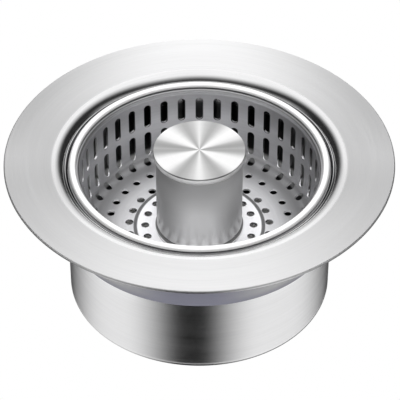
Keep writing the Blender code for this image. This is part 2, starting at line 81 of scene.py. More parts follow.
# Strainer basket: a drawn sheet with a lip, a wall, a corner and a floor
LIP_RADIUS, BASKET_UNDER, LIP_TOP = size_of("strainer_basket")
SHEET = 0.8
LIP_WIDTH, LIP_BEND = 1.6, 1.0
WALL = LIP_RADIUS - LIP_WIDTH - SHEET
FLOOR = BASKET_UNDER + SHEET
CORNER = 4.0
NECK_HOLE = 8.3
EDGE_ROUND = 0.2
GROOVE_AT, GROOVE_HALF, GROOVE_DEEP = 19.27, 0.6, 0.1

# Slots in its wall and holes in its floor
SLOT_ROWS = (BRIM_TOP - 10.33, BRIM_TOP - 20.87)
SLOTS_PER_ROW = 40
SLOT_HALF_LENGTH, SLOT_HALF_WIDTH = 4.1, 1.0
HOLE_RINGS = ((32.78, 37), (27.35, 32), (21.15, 25), (16.31, 20))
HOLE_RADIUS = 1.1
SLOT_MARGIN, HOLE_MARGIN = 0.28, 0.26
ROLL = 0.26                   # radius of the rolled edge of slots and holes

# Fineness of the basket's mesh: a hole's outline has as many points as the field round it
RING_POINTS = 240
SLOT_STEPS, SLOT_FIELD_STEPS = (2, 6), (4, 4)
HOLE_STEPS, HOLE_FIELD_STEPS = (1, 6), (4, 3)
LIP_STEPS, CORNER_STEPS, GROOVE_STEPS, ROLL_STEPS, EDGE_STEPS = 6, 12, 10, 3, 6
LIP_RING_WAY = 0.3            # where the lip's face meets its rounded edge
COLLAR_RING_RADIUS = 12.5
UNDER_RING_RADII = (24.0, 19.0)
SAME = 1e-6                   # difference of ways or turns that count as the same
CLOSE = 0.02                  # a plain ring this near to a band's border is left out

# Seal, bead, collar and knob
SEAL_FOOT = size_of("rim_seal")[1]
SEAL_RADIUS, SEAL_INSIDE, SEAL_LEG_RADIUS, SEAL_LEDGE_RADIUS = 38.72, 36.61, 38.17, 37.8
SEAL_LEDGE_TOP, SEAL_TOP = 42.8, 43.6
SEAL_SHOULDER = (38.42, 42.85)
BEAD_FOOT = size_of("basket_rim")[1]
BEAD_RADIUS, BEAD_INSIDE, BEAD_TOP = 38.4, 36.12, 45.15
COLLAR_RADIUS, COLLAR_FOOT, COLLAR_TOP = size_of("post_collar")
COLLAR_INSIDE, COLLAR_CHAMFER = 10.9, 0.5
SHELL_RADIUS, SHELL_FOOT, SHELL_TOP = size_of("knob_shell")
SHELL_WALL = 1.15
CAP_RADIUS, SPIGOT_FOOT, CAP_TOP = size_of("knob_cap")
CAP_FOOT = CAP_TOP - 2.4
CAP_EDGE_WIDTH, CAP_EDGE_DROP = 0.1, 0.4
SPIGOT_RADIUS, SPIGOT_WALL = 11.3, 1.7
CAP_BORE, CAP_BORE_DEPTH = 3.3, 1.1


# Turned meshes
def add_object(name, verts, faces, normals, material):
    """Object from points in millimetres, with its own normal at every point."""
    mesh = bpy.data.meshes.new(name)
    mesh.from_pydata([tuple(c * MM for c in v) for v in verts], [], faces)
    mesh.shade_smooth()
    mesh.normals_split_custom_set_from_vertices([Vector(n).normalized() for n in normals])
    mesh.materials.append(material)
    made = bpy.data.objects.new(name, mesh)
    scene.collection.objects.link(made)
    return made


def arc_steps(radius, turn):
    """Number of steps along an arc, more for a larger radius."""
    degrees = 7 if radius > 1 else 15 if radius > 0.3 else 30
    return max(2, math.ceil(math.degrees(abs(turn)) / degrees))


def arc(entry):
    """Points and outward normals of a (radius, height, bend, from angle, to angle) entry, in degrees."""
    radius, height, bend, *angles = entry
    start, end = (math.radians(a) for a in angles)
    steps = arc_steps(bend, end - start)
    out = []
    for k in range(steps + 1):
        a = start + (end - start) * k / steps
        facing = Vector((math.cos(a), math.sin(a)))
        out.append((Vector((radius, height)) + facing * bend, facing))
    return out


def rounded(corners):
    """Points and normals of a counter-clockwise outline from (radius, height, fillet) corners and arcs."""
    out = []
    for index, entry in enumerate(corners):
        if len(entry) > 3:
            out += arc(entry)
            continue
        radius, height, fillet = entry
        here = Vector((radius, height))
        last, following = corners[index - 1], corners[(index + 1) % len(corners)]
        last = arc(last)[-1][0] if len(last) > 3 else Vector(last[:2])
        following = arc(following)[0][0] if len(following) > 3 else Vector(following[:2])
        if radius == 0:
            along = here - last if last.x > 0 else following - here
            out.append((here, Vector((along.y, -along.x)).normalized()))
            continue
        before = (here - last).normalized()
        after = (following - here).normalized()
        turn = math.atan2(before.x * after.y - before.y * after.x, before.dot(after))
        normal = Vector((before.y, -before.x))
        side = 1 if turn > 0 else -1
        centre = here - before * fillet * math.tan(abs(turn) / 2) - normal * fillet * side
        steps = arc_steps(fillet, turn)
        for k in range(steps + 1):
            facing = Matrix.Rotation(turn * k / steps, 2) @ normal
            out.append((centre + facing * fillet * side, facing))
    return out


def lathe(name, corners, material):
    """Closed piece turned about the Z axis."""
    outline = rounded(corners)
    verts, normals, rings, faces = [], [], [], []
    for point, facing in outline:
        if point.x == 0:
            rings.append([len(verts)] * SEGMENTS)
            verts.append((0, 0, point.y))
            normals.append((0, 0, facing.y))
            continue
        rings.append(list(range(len(verts), len(verts) + SEGMENTS)))
        for k in range(SEGMENTS):
            c, s = math.cos(TURN * k / SEGMENTS), math.sin(TURN * k / SEGMENTS)
            verts.append((point.x * c, point.x * s, point.y))
            normals.append((facing.x * c, facing.x * s, facing.y))
    pairs = list(zip(rings, rings[1:] + rings[:1]))
    if outline[0][0].x == 0:
        pairs.pop()
    for low, high in pairs:
        for k in range(SEGMENTS):
            n = (k + 1) % SEGMENTS
            corner = [low[k], low[n], high[n], high[k]]
            face = [v for i, v in enumerate(corner) if v != corner[i - 1]]
            if len(face) > 2:
                faces.append(face)
    return add_object(name, verts, faces, normals, material)


def place(piece, node, body):
    """Let a piece stand for a CAD node and ride on its body."""
    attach(piece, body)
    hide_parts(node)


# Basket: a place on its sheet is given by the way along the profile, the turn and the depth into the sheet
way_bend = LIP_RADIUS - WALL - LIP_BEND
way_wall = way_bend + LIP_BEND * math.pi / 2
way_corner = way_wall + LIP_TOP - LIP_BEND - FLOOR - CORNER
way_floor = way_corner + CORNER * math.pi / 2
way_end = way_floor + WALL - CORNER - NECK_HOLE


def profile(way):
    """Radius, height and normal of the basket's inner face at a distance along it from the lip's edge."""
    if way <= way_bend:
        return LIP_RADIUS - way, LIP_TOP, 0, 1
    if way <= way_wall:
        a = (way - way_bend) / LIP_BEND
        return (WALL + LIP_BEND * (1 - math.sin(a)), LIP_TOP - LIP_BEND * (1 - math.cos(a)),
                -math.sin(a), math.cos(a))
    if way <= way_corner:
        return WALL, LIP_TOP - LIP_BEND - (way - way_wall), -1, 0
    if way <= way_floor:
        a = (way - way_corner) / CORNER
        return (WALL - CORNER * (1 - math.cos(a)), FLOOR + CORNER * (1 - math.sin(a)),
                -math.cos(a), math.sin(a))
    return WALL - CORNER - (way - way_floor), FLOOR, 0, 1


def way_at_height(z):
    """Way along the wall or the corner at a height."""
    if z >= FLOOR + CORNER:
        return way_wall + LIP_TOP - LIP_BEND - z
    return way_corner + CORNER * math.asin((FLOOR + CORNER - z) / CORNER)


def way_at_radius(r):
    """Way along the floor or the corner at a radius."""
    if r <= WALL - CORNER:
        return way_floor + WALL - CORNER - r
    return way_floor - CORNER * math.asin((r - WALL + CORNER) / CORNER)


def turn_key(turn):
    """A turn from 0 up to a full turn, rounded so that neighbours agree on it."""
    return round(turn % TURN, 6) % round(TURN, 6)


def mirrored(quarter):
    """Whole loop from the quarter where both directions are positive."""
    upper = quarter + [(u, -v, nu, -nv) for u, v, nu, nv in reversed(quarter[:-1])]
    return upper + [(-u, v, -nu, nv) for u, v, nu, nv in reversed(upper[1:-1])]


def hole_outline(steps_side, steps_arc, half_straight, radius):
    """Outline of a slot or hole: (along, across, normal along, normal across), from the middle of a side."""
    quarter = [(half_straight * k / steps_side, radius, 0, 1) for k in range(steps_side)]
    for k in range(steps_arc + 1):
        a = math.pi / 2 * k / steps_arc
        quarter.append((half_straight + radius * math.sin(a), radius * math.cos(a), math.sin(a), math.cos(a)))
    return mirrored(quarter)


def field_outline(steps_side, steps_end, before, after):
    """Outline of the sector round a hole, point for point: (along, share of half the sector's width)."""
    quarter = [(k / steps_side, 1, 0, 0) for k in range(steps_side)]
    quarter += [(1, 1 - k / steps_end, 0, 0) for k in range(steps_end + 1)]
    return [((after if u > 0 else before) * u, v) for u, v, _, _ in mirrored(quarter)]


class Band:
    """Row of slots or ring of holes: its outlines, and its borders as ways along the sheet."""

    def __init__(self, count, middle, half_length, margin, outline, field_steps, to_way):
        self.count, self.middle, self.outline, self.to_way = count, middle, outline, to_way
        self.centre = to_way(middle)
        self.low = to_way(middle + half_length) - margin
        self.high = to_way(middle - half_length) + margin
        self.field = field_outline(*field_steps, self.centre - self.low, self.high - self.centre)
        self.borders = {}

    def covers(self, way):
        """True if a way lies in the band or close to its border."""
        return self.low - CLOSE < way < self.high + CLOSE


class Sheet:
    """Mesh of the basket's sheet, built as rings that are joined by faces."""

    def __init__(self):
        self.verts, self.normals, self.faces, self.known = [], [], [], {}

    def vert(self, point, normal):
        """Add a point with its normal."""
        self.verts.append(point)
        self.normals.append(normal)
        return len(self.verts) - 1

    def spot(self, way, turn, depth, normal):
        """Point of the sheet, with its normal as (along, across, out of the inner face)."""
        r, z, nr, nz = profile(way)
        c, s = math.cos(turn), math.sin(turn)
        r, z = r - nr * depth, z - nz * depth
        along, across, out = normal
        fr, fz = nr * out - nz * along, nz * out + nr * along
        return self.vert((r * c, r * s, z), (fr * c - across * s, fr * s + across * c, fz))

    def shared(self, way, turn, back):
        """Point on a face of the sheet that neighbouring sectors share."""
        key = (round(way, 5), turn_key(turn), back)
        if key not in self.known:
            self.known[key] = self.spot(way, turn, SHEET if back else 0, (0, 0, -1 if back else 1))
        return self.known[key]

    def face(self, corners):
        """Add a face that looks the way of its points' normals."""
        corners = [v for i, v in enumerate(corners) if v != corners[i - 1]]
        if len(corners) < 3:
            return
        a, b, c = (Vector(self.verts[v]) for v in corners[:3])
        looks = sum((Vector(self.normals[v]) for v in corners), Vector((0, 0, 0)))
        if (b - a).cross(c - b).dot(looks) < 0:
            corners.reverse()
        self.faces.append(corners)

    def ring(self, r, z, nr, nz):
        """Plain ring of points, as (turn, point) pairs."""
        out = []
        for k in range(RING_POINTS):
            a = TURN * k / RING_POINTS
            c, s = math.cos(a), math.sin(a)
            out.append((a, self.vert((r * c, r * s, z), (nr * c, nr * s, nz))))
        return out

    def join(self, one, two):
        """Faces between two closed rings whose points may differ in number."""
        one, two = (sorted(ring) for ring in (one, two))
        one, two = (ring + [(ring[0][0] + TURN, ring[0][1])] for ring in (one, two))
        i = j = 0
        while i < len(one) - 1 or j < len(two) - 1:
            next_one = one[i + 1][0] if i < len(one) - 1 else math.inf
            next_two = two[j + 1][0] if j < len(two) - 1 else math.inf
            if abs(next_one - next_two) < SAME:
                self.face([one[i][1], one[i + 1][1], two[j + 1][1], two[j][1]])
                i, j = i + 1, j + 1
            elif next_one < next_two:
                self.face([one[i][1], one[i + 1][1], two[j][1]])
                i += 1
            else:
                self.face([one[i][1], two[j + 1][1], two[j][1]])
                j += 1

    def punch(self, band):
        """Mesh the sectors of a band, each with its hole, and note the band's border rings on both faces."""
        band.borders = {(back, end): {} for back in (False, True) for end in ("low", "high")}
        for index in range(band.count):
            turn = math.pi / 2 + TURN * index / band.count
            rings = self.sector(band, turn, False) + self.sector(band, turn, True)[::-1]
            for one, two in zip(rings, rings[1:]):
                for k in range(len(one)):
                    n = (k + 1) % len(one)
                    self.face([one[k], one[n], two[n], two[k]])
        band.borders = {key: sorted(points.items()) for key, points in band.borders.items()}

    def sector(self, band, turn, back):
        """Rings of one face of a sector, from its outline to the middle of the hole's edge."""
        outline = [(band.centre + along, turn + share * math.pi / band.count) for along, share in band.field]
        ring = [self.shared(*spot, back) for spot in outline]
        for (way, spot_turn), vert in zip(outline, ring):
            for end, border in (("low", band.low), ("high", band.high)):
                if abs(way - border) < SAME:
                    band.borders[back, end][turn_key(spot_turn)] = vert
        leans = [math.pi / 2 * (1 - k / ROLL_STEPS) for k in range(ROLL_STEPS + 1)]
        return [ring] + [self.rolled(band, turn, back, lean) for lean in leans]

    def rolled(self, band, turn, back, lean):
        """Ring of a hole's rolled edge; lean is the angle from the cut's normal to the face's."""
        apart, deep = ROLL * (1 - math.cos(lean)), ROLL * (1 - math.sin(lean))
        depth, out = (SHEET - deep, -math.sin(lean)) if back else (deep, math.sin(lean))
        ring = []
        for along, across, normal_along, normal_across in band.outline:
            way = band.to_way(band.middle - along - normal_along * apart)
            spot_turn = turn + (across + normal_across * apart) / profile(way)[0]
            normal = (-normal_along * math.cos(lean), -normal_across * math.cos(lean), out)
            ring.append(self.spot(way, spot_turn, depth, normal))
        return ring

    def plain_ring(self, way, back):
        """Ring on a face of the sheet, sunk where it crosses the groove in the floor."""
        r, z, nr, nz = profile(way)
        if back:
            return self.ring(r - nr * SHEET, z - nz * SHEET, -nr, -nz)
        if way <= way_floor or abs(r - GROOVE_AT) >= GROOVE_HALF:
            return self.ring(r, z, nr, nz)
        a = math.pi / 2 * (r - GROOVE_AT) / GROOVE_HALF
        slope = -GROOVE_DEEP * math.sin(2 * a) * math.pi / 2 / GROOVE_HALF
        length = math.hypot(slope, 1)
        return self.ring(r, z - GROOVE_DEEP * math.cos(a) ** 2, slope / length, 1 / length)

    def face_rings(self, bands, back):
        """Mesh one face between its bands, from the lip to the neck, and return its two end rings."""
        stops = [LIP_RING_WAY, way_at_radius(COLLAR_RING_RADIUS), way_end - EDGE_ROUND]
        stops += [way_bend + (way_wall - way_bend) * k / LIP_STEPS for k in range(LIP_STEPS + 1)]
        stops += [way_corner + (way_floor - way_corner) * k / CORNER_STEPS for k in range(CORNER_STEPS + 1)]
        if back:
            stops += [way_at_radius(radius) for radius in UNDER_RING_RADII]
        else:
            stops += [way_at_radius(GROOVE_AT + GROOVE_HALF * (1 - 2 * k / GROOVE_STEPS))
                      for k in range(GROOVE_STEPS + 1)]
        stops = {round(way, 5) for way in stops}
        items = [(way, None) for way in stops if not any(band.covers(way) for band in bands)]
        items += [(band.low, band) for band in bands]
        runs = [[]]
        for way, band in sorted(items, key=lambda item: item[0]):
            if band:
                runs[-1].append(band.borders[back, "low"])
                runs.append([band.borders[back, "high"]])
            else:
                runs[-1].append(self.plain_ring(way, back))
        for run in runs:
            for one, two in zip(run, run[1:]):
                self.join(one, two)
        return runs[0][0], runs[-1][-1]

    def close_edge(self, front, rear, radius, top, side):
        """Rounded edge of the sheet between its two faces."""
        ring = front
        for k in range(1, EDGE_STEPS):
            a = math.pi * k / EDGE_STEPS
            r = radius - side * EDGE_ROUND * (1 - math.sin(a))
            z = top - SHEET / 2 * (1 - math.cos(a))
            edge = self.ring(r, z, side * math.sin(a), math.cos(a))
            self.join(ring, edge)
            ring = edge
        self.join(ring, rear)


def basket_mesh(material):
    """The perforated basket."""
    sheet = Sheet()
    slot = hole_outline(*SLOT_STEPS, SLOT_HALF_LENGTH - SLOT_HALF_WIDTH, SLOT_HALF_WIDTH)
    hole = hole_outline(*HOLE_STEPS, 0.0, HOLE_RADIUS)
    bands = [Band(SLOTS_PER_ROW, height, SLOT_HALF_LENGTH, SLOT_MARGIN, slot, SLOT_FIELD_STEPS, way_at_height)
             for height in SLOT_ROWS]
    bands += [Band(count, radius, HOLE_RADIUS, HOLE_MARGIN, hole, HOLE_FIELD_STEPS, way_at_radius)
              for radius, count in HOLE_RINGS]
    for band in bands:
        sheet.punch(band)
    front_lip, front_neck = sheet.face_rings(bands, False)
    rear_lip, rear_neck = sheet.face_rings(bands, True)
    sheet.close_edge(front_lip, rear_lip, LIP_RADIUS, LIP_TOP, 1)
    sheet.close_edge(front_neck, rear_neck, NECK_HOLE, FLOOR, -1)
    return add_object("visual_basket", sheet.verts, sheet.faces, sheet.normals, material)


# Node trees
class Term:
    """Value in a node tree; sums, products and steps of terms are new math nodes."""

    def __init__(self, tree, socket):
        self.tree, self.socket = tree, socket

    def __add__(self, other):
        return self.tree.math("ADD", self, other)

    def __sub__(self, other):
        return self.tree.math("SUBTRACT", self, other)

    def __rsub__(self, other):
        return self.tree.math("SUBTRACT", other, self)

    def __mul__(self, other):
        return self.tree.math("MULTIPLY", self, other)

    def __truediv__(self, other):
        return self.tree.math("DIVIDE", self, other)

    def __abs__(self):
        return self.tree.math("ABSOLUTE", self)

    __radd__, __rmul__ = __add__, __mul__

    def root(self):
        """Square root."""
        return self.tree.math("SQRT", self)

    def at_least(self, other):
        """The greater of two values."""
        return self.tree.math("MAXIMUM", self, other)

    def clamped(self):
        """The value kept between 0 and 1."""
        return self.tree.math("ADD", self, 0.0, clamp=True)

    def step(self, start, end):
        """Smooth change from 0 at one value to 1 at another."""
        node = self.tree.add("ShaderNodeMapRange", Value=self, From_Min=start, From_Max=end)
        node.interpolation_type = "SMOOTHSTEP"
        return Term(self.tree, node.outputs[0])


class Tree:
    """Node tree of a material or world, with its coordinates as terms."""

    def __init__(self, owner, coordinates):
        owner.use_nodes = True
        self.nodes, self.links = owner.node_tree.nodes, owner.node_tree.links
        self.coordinates = self.add("ShaderNodeTexCoord").outputs[coordinates]
        split = self.add("ShaderNodeSeparateXYZ", Vector=self.coordinates)
        self.x, self.y, self.z = (Term(self, socket) for socket in split.outputs)

    def put(self, socket, value):
        """Set a socket to a value, or link it to a term or another socket."""
        if isinstance(value, Term):
            value = value.socket
        if isinstance(value, bpy.types.NodeSocket):
            self.links.new(value, socket)
        else:
            socket.default_value = value

    def add(self, kind, **inputs):
        """New node with some inputs set or linked."""
        node = self.nodes.new(kind)
        for name, value in inputs.items():
            self.put(node.inputs[name.replace("_", " ")], value)
        return node

    def math(self, operation, *values, clamp=False):
        """Result of a math node."""
        node = self.nodes.new("ShaderNodeMath")
        node.operation, node.use_clamp = operation, clamp
        for socket, value in zip(node.inputs, values):
            self.put(socket, value)
        return Term(self, node.outputs[0])


class Look(Tree):
    """Node material that reads the place on the drain: z and radius, and the turn about the axis.

    cos is 1 at the right of the photo and -1 at the left; sin is -1 at the front and 1 at the back.
    """

    def __init__(self, name):
        self.material = bpy.data.materials.new(name)
        super().__init__(self.material, "Object")
        self.shader = self.nodes["Principled BSDF"]
        self.x, self.y, self.z = self.x / MM, self.y / MM, self.z / MM
        self.radius = (self.x * self.x + self.y * self.y).root()
        divisor = self.radius.at_least(0.01)
        self.cos, self.sin = self.x / divisor, self.y / divisor

    def set(self, **inputs):
        """Set or link inputs of the shader."""
        for name, value in inputs.items():
            self.put(self.shader.inputs[name.replace("_", " ")], value)

    def ramp(self, value, stops):
        """Grey value read off (place, grey) stops."""
        node = self.add("ShaderNodeValToRGB", Fac=value)
        elements = node.color_ramp.elements
        elements[1].position = stops[-1][0]
        for position, _ in stops[1:-1]:
            elements.new(position)
        for element, (position, grey) in zip(elements, stops):
            element.position, element.color = position, (grey, grey, grey, 1)
        return Term(self, node.outputs["Color"])

    def rings(self, pitch, reach):
        """Noise round 0 that changes quickly across the turned rings and slowly along them."""
        node = self.add("ShaderNodeTexNoise", Scale=1, Detail=2)
        node.noise_dimensions = "4D"
        place_on_ring = self.add("ShaderNodeCombineXYZ", X=self.radius * (1 / pitch), Y=self.cos * reach,
                                 Z=self.sin * reach)
        self.put(node.inputs["Vector"], place_on_ring.outputs[0])
        self.put(node.inputs["W"], self.z * (1 / pitch))
        return Term(self, node.outputs[0]) - 0.5

    def speckle(self, size):
        """Even noise round 0 with grains of a size."""
        node = self.add("ShaderNodeTexNoise", Vector=self.coordinates, Scale=1 / (size * MM), Detail=3)
        return Term(self, node.outputs[0]) - 0.5

    def tint(self, colour, grey):
        """A colour times a grey value."""
        node = self.nodes.new("ShaderNodeVectorMath")
        node.operation = "SCALE"
        node.inputs[0].default_value = colour
        self.put(node.inputs["Scale"], grey)
        return node.outputs[0]

    def colour_sum(self, one, two):
        """Sum of two colours."""
        node = self.nodes.new("ShaderNodeVectorMath")
        self.put(node.inputs[0], one)
        self.put(node.inputs[1], two)
        return node.outputs[0]

    def bump(self, height, strength, distance):
        """Bump from a height, on the shader's normal."""
        node = self.add("ShaderNodeBump", Height=height, Strength=strength, Distance=distance * MM)
        self.set(Normal=node.outputs[0])


def resolved(value, look):
    """A value that is the same all over, or the term that a function gives for the look."""
    return value(look) if callable(value) else value


def turned_steel(name, colour, roughness, anisotropy, streak=0.08, broad=0.05, rough_streak=0.06, bump=0.1,
                 pitch=0.45, shade=1.0, metallic=1.0):
    """Steel with turned brushing; its roughness, shade and metallic may be functions of the look."""
    look = Look(name)
    fine, wide, hair = look.rings(pitch, 2.2), look.rings(pitch * 4.5, 1.2), look.rings(pitch * 0.3, 5.0)
    grey = (fine * (2 * streak) + wide * (2 * broad) + 1.0) * resolved(shade, look)
    rough = fine * (2 * rough_streak) + wide * rough_streak + resolved(roughness, look)
    look.set(Base_Color=look.tint(colour, grey), Metallic=resolved(metallic, look), Roughness=rough,
             Anisotropic=anisotropy, Anisotropic_Rotation=0.25)
    tangent = look.add("ShaderNodeTangent")
    tangent.direction_type, tangent.axis = "RADIAL", "Z"
    look.set(Tangent=tangent.outputs[0])
    look.bump(hair, bump, 0.03)
    return look.material


def moulded(name, colour, roughness, metallic=0.0, vary=0.06, sheen=None):
    """Moulded rubber or nylon, or cast metal, with a fine grain, and an optional painted sheen of pale
    colour.
    """
    look = Look(name)
    fine, cloud = look.speckle(0.6), look.speckle(8.4)
    grey = fine * vary + cloud * (2 * vary) + 1.0
    base = look.tint(colour, grey)
    # painted sheen: pale colour added where the given function says
    if sheen:
        base = look.colour_sum(base, look.tint(SHEEN_COLOUR, grey * sheen(look)))
    look.set(Base_Color=base, Metallic=metallic, Roughness=cloud * 0.12 + roughness)
    look.bump(fine, 0.15, 0.05)
    return look.material


# How each piece's look changes over it. A step runs from nothing to all of a look between two places: radii,
# heights, sines or cosines of the turn, or depths in the sheet. Greys and pales are shares of a colour, most
# of them painted shade and painted light
SIDES = (0.45, 0.85)          # squared cosine of the turn

# Gasket
# Painted sheen of pale colour on the gasket's sides
SHEEN_COLOUR = (0.19, 0.19, 0.15)
LOWER_EDGE_SHEEN = 0.28


def gasket_painted_sheen(look):
    """Painted sheen on the gasket's sides, but for its lower edge."""
    side = abs(look.cos + 0.04).step(0.1, 0.65)
    return side * (1 - look.z.step(28.9, 26.4) * (1 - LOWER_EDGE_SHEEN))


# Flange
BRIM_ROUGH, BEND_ROUGH, SLEEVE_ROUGH_SHARE = 0.39, 0.12, 0.7
BAND_LEVEL, BAND_RISE = 7.0, 9.6
# Painted shade and painted highlights on the bend into the throat, and painted shade near it
BEND_GREY, BEND_FRONT_SHARE, BEND_SIDE_GREY, NEAR_GREY = 0.25, 0.4, 0.52, 0.09
BEND_SIDE_HIGHLIGHT, BEND_FRONT_HIGHLIGHT = 0.25, 0.2
# Painted shade in a bow to the sides of the brim
BOW_SHADE, BOW_OUTER_SHADE = 0.18, 0.5
# Painted shade inside the sleeve, with painted light on its sides and on a band; painted light and shade on
# the brim's edge; painted shade on the foot and the sleeve's far sides
INSIDE_GREY, INSIDE_PALE, INSIDE_SIDE_SHARE = 0.93, 0.85, 0.35
EDGE_PALE, EDGE_SIDE_GREY = 0.15, 0.85
FOOT_GREY, FOOT_RIGHT_GREY, FAR_GREY, LEAST_GREY = 0.52, 0.4, 0.4, 0.05
SHEEN_MATT, FOOT_LINE_SHARE, INSIDE_MATT = 0.35, 0.6, 0.85


def brim_rough(look):
    """Roughness of the flange: brushed brim, smoother bend, brushed sleeve."""
    brim = look.radius.step(42.8, 43.6)
    sleeve = look.z.step(40.0, 36.0) * SLEEVE_ROUGH_SHARE
    return brim.at_least(sleeve) * (BRIM_ROUGH - BEND_ROUGH) + BEND_ROUGH


def pale_band(look):
    """Band of painted light inside the sleeve, below the basket, higher up at the back."""
    start = look.sin.at_least(0.0) * BAND_RISE + BAND_LEVEL
    return (look.z - start).step(-0.8, 0.4) * look.z.step(21.5, 19.5)


def sleeve_inside(look, top, full):
    """Inside of the sleeve, from nothing at one height to all of it at a lower one."""
    return look.radius.step(39.0, 38.6) * look.z.step(top, full)


def sideways(look, start, end):
    """Sides of the drain, from the squared cosine of the turn."""
    return (look.cos * look.cos).step(start, end)


def throat_shade(look):
    """Change of the flange's grey on the bend into the throat, by the turn: painted shade and painted
    highlights.
    """
    bend = look.radius.step(43.8, 42.8) * look.z.step(39.5, 41.5)
    front = look.sin.step(-0.35, -0.8)
    not_back = look.sin.step(0.1, -0.3)
    aside = (1 - front) * not_back
    highlight = aside * look.radius.step(40.3, 40.8) * look.radius.step(42.1, 41.5) * BEND_SIDE_HIGHLIGHT
    highlight += front * look.radius.step(41.5, 40.7) * BEND_FRONT_HIGHLIGHT
    dark = (1 - front * (1 - BEND_FRONT_SHARE)) * BEND_GREY
    dark += aside * look.radius.step(40.8, 40.0) * BEND_SIDE_GREY
    return bend * (highlight - dark) - look.radius.step(40.5, 42.5) * not_back * NEAR_GREY


def brim_painted_bow(look):
    """Faint painted shade in a bow to the sides of the brushed brim, stronger at its outer back."""
    outer = look.radius.step(45.0, 56.0) * look.sin.at_least(0.0)
    return look.radius.step(43.0, 44.0) * (look.cos * look.cos) * (outer * BOW_OUTER_SHADE + BOW_SHADE)


def flange_shade(look):
    """Shares of the flange's colour: painted shade and highlights on the bend, painted shade inside with
    painted light on a band and the sides, painted light and shade on the brim's edge, painted shade on the
    foot and far sides, and the brim's painted bow.
    """
    pale = (sideways(look, *SIDES) * INSIDE_SIDE_SHARE).at_least(pale_band(look))
    inside = sleeve_inside(look, 40.2, 36.2) * (pale * INSIDE_PALE - INSIDE_GREY)
    brim_edge = look.radius.step(56.4, 56.8) * look.z.step(46.9, 46.7)
    edge = brim_edge * (EDGE_PALE - sideways(look, 0.0, 0.5) * EDGE_SIDE_GREY)
    foot = look.radius.step(38.9, 39.1) * look.z.step(0.6, 0.4) * (look.cos * FOOT_RIGHT_GREY + FOOT_GREY)
    far = sideways(look, 0.86, 0.99) * look.z.step(41.0, 40.0) * FAR_GREY
    grey = 1 + throat_shade(look) + inside + edge - foot - far - brim_painted_bow(look)
    return grey.at_least(LEAST_GREY)


def flange_metal(look):
    """Metallic share of the flange, less on the sleeve below the gasket's sides, on its foot and inside."""
    sheen = abs(look.cos).step(0.4, 0.7) * look.z.step(21.5, 25.0) * look.z.step(30.0, 27.0)
    foot_line = look.z.step(0.6, 0.7) * look.z.step(1.2, 1.0) * FOOT_LINE_SHARE
    outside = look.radius.step(39.1, 39.3) * sheen.at_least(foot_line)
    inside = sleeve_inside(look, 39.5, 33.0) * sideways(look, *SIDES).at_least(pale_band(look))
    return 1 - outside * SHEEN_MATT - inside * INSIDE_MATT


# Basket
# Painted shade on the cut faces, in the corner and the groove, towards the floor's rim, on the wall and the
# lip; painted light on the cuts at the sides and in the outer holes, and painted glints at the slots' lower
# ends
CUT_GREY, MIDDLE_CUT_GREY, SIDE_SLOT_PALE, HOLE_SIDE_PALE, SLOT_END_GLINT = 0.86, 0.1, 0.45, 0.95, 0.35
CORNER_GREY, GROOVE_GREY, FLOOR_GREY, FLOOR_RIM_GREY, MIDDLE_PALE = 0.12, 0.7, 0.1, 0.22, 0.1
WALL_TOP_GREY, WALL_RIGHT_GREY, LIP_GREY, LEAST_WALL_GREY = 0.28, 0.33, 0.5, 0.04
BASKET_METAL, FLOOR_MATT, NEAR_MATT, MIDDLE_MATT, CUT_MATT, SIDE_SLOT_SHARE = 0.95, 0.15, 0.2, 0.42, 0.7, 0.8
BASKET_ROUGH, FLOOR_ROUGH = 0.34, 0.42
SLOT_END_DROP = 4.0           # middle of a slot to its lower end's cut


def depth_in_sheet(look):
    """Depth into the basket's sheet from its inner face."""
    wide = (look.radius - (WALL - CORNER)).at_least(0.0)
    low = (FLOOR + CORNER - look.z).at_least(0.0)
    deep = (wide * wide + low * low).root() - CORNER
    return deep * look.z.step(42.9, 42.4)


def inner_off(deep):
    """All of the sheet but its inner face."""
    return deep.step(0.02, 0.14)


def cut_face(deep):
    """Faces that the punching cut through the sheet."""
    return deep.step(0.08, 0.16) * deep.step(0.72, 0.60)


def slot_ends(look, deep):
    """Cut faces at the lower round ends of the slots."""
    upper, lower = (abs(look.z - (middle - SLOT_END_DROP)).step(0.4, 0.2) for middle in SLOT_ROWS)
    return cut_face(deep) * upper.at_least(lower)


def side_slots(look):
    """Wall far to the sides, where the slots are seen edge on."""
    return sideways(look, *SIDES) * look.z.step(24.0, 26.0)


def hole_sides(look, deep):
    """Cut faces of the outer rings of holes in the floor."""
    return cut_face(deep) * look.z.step(24.5, 23.5) * look.radius.step(19.0, 25.0)


def low_down(look):
    """The floor and the foot of its corner."""
    return look.z.step(22.5, 20.5)


def floor_middle(look):
    """Middle of the floor, inside the groove."""
    return look.radius.step(19.1, 18.8)


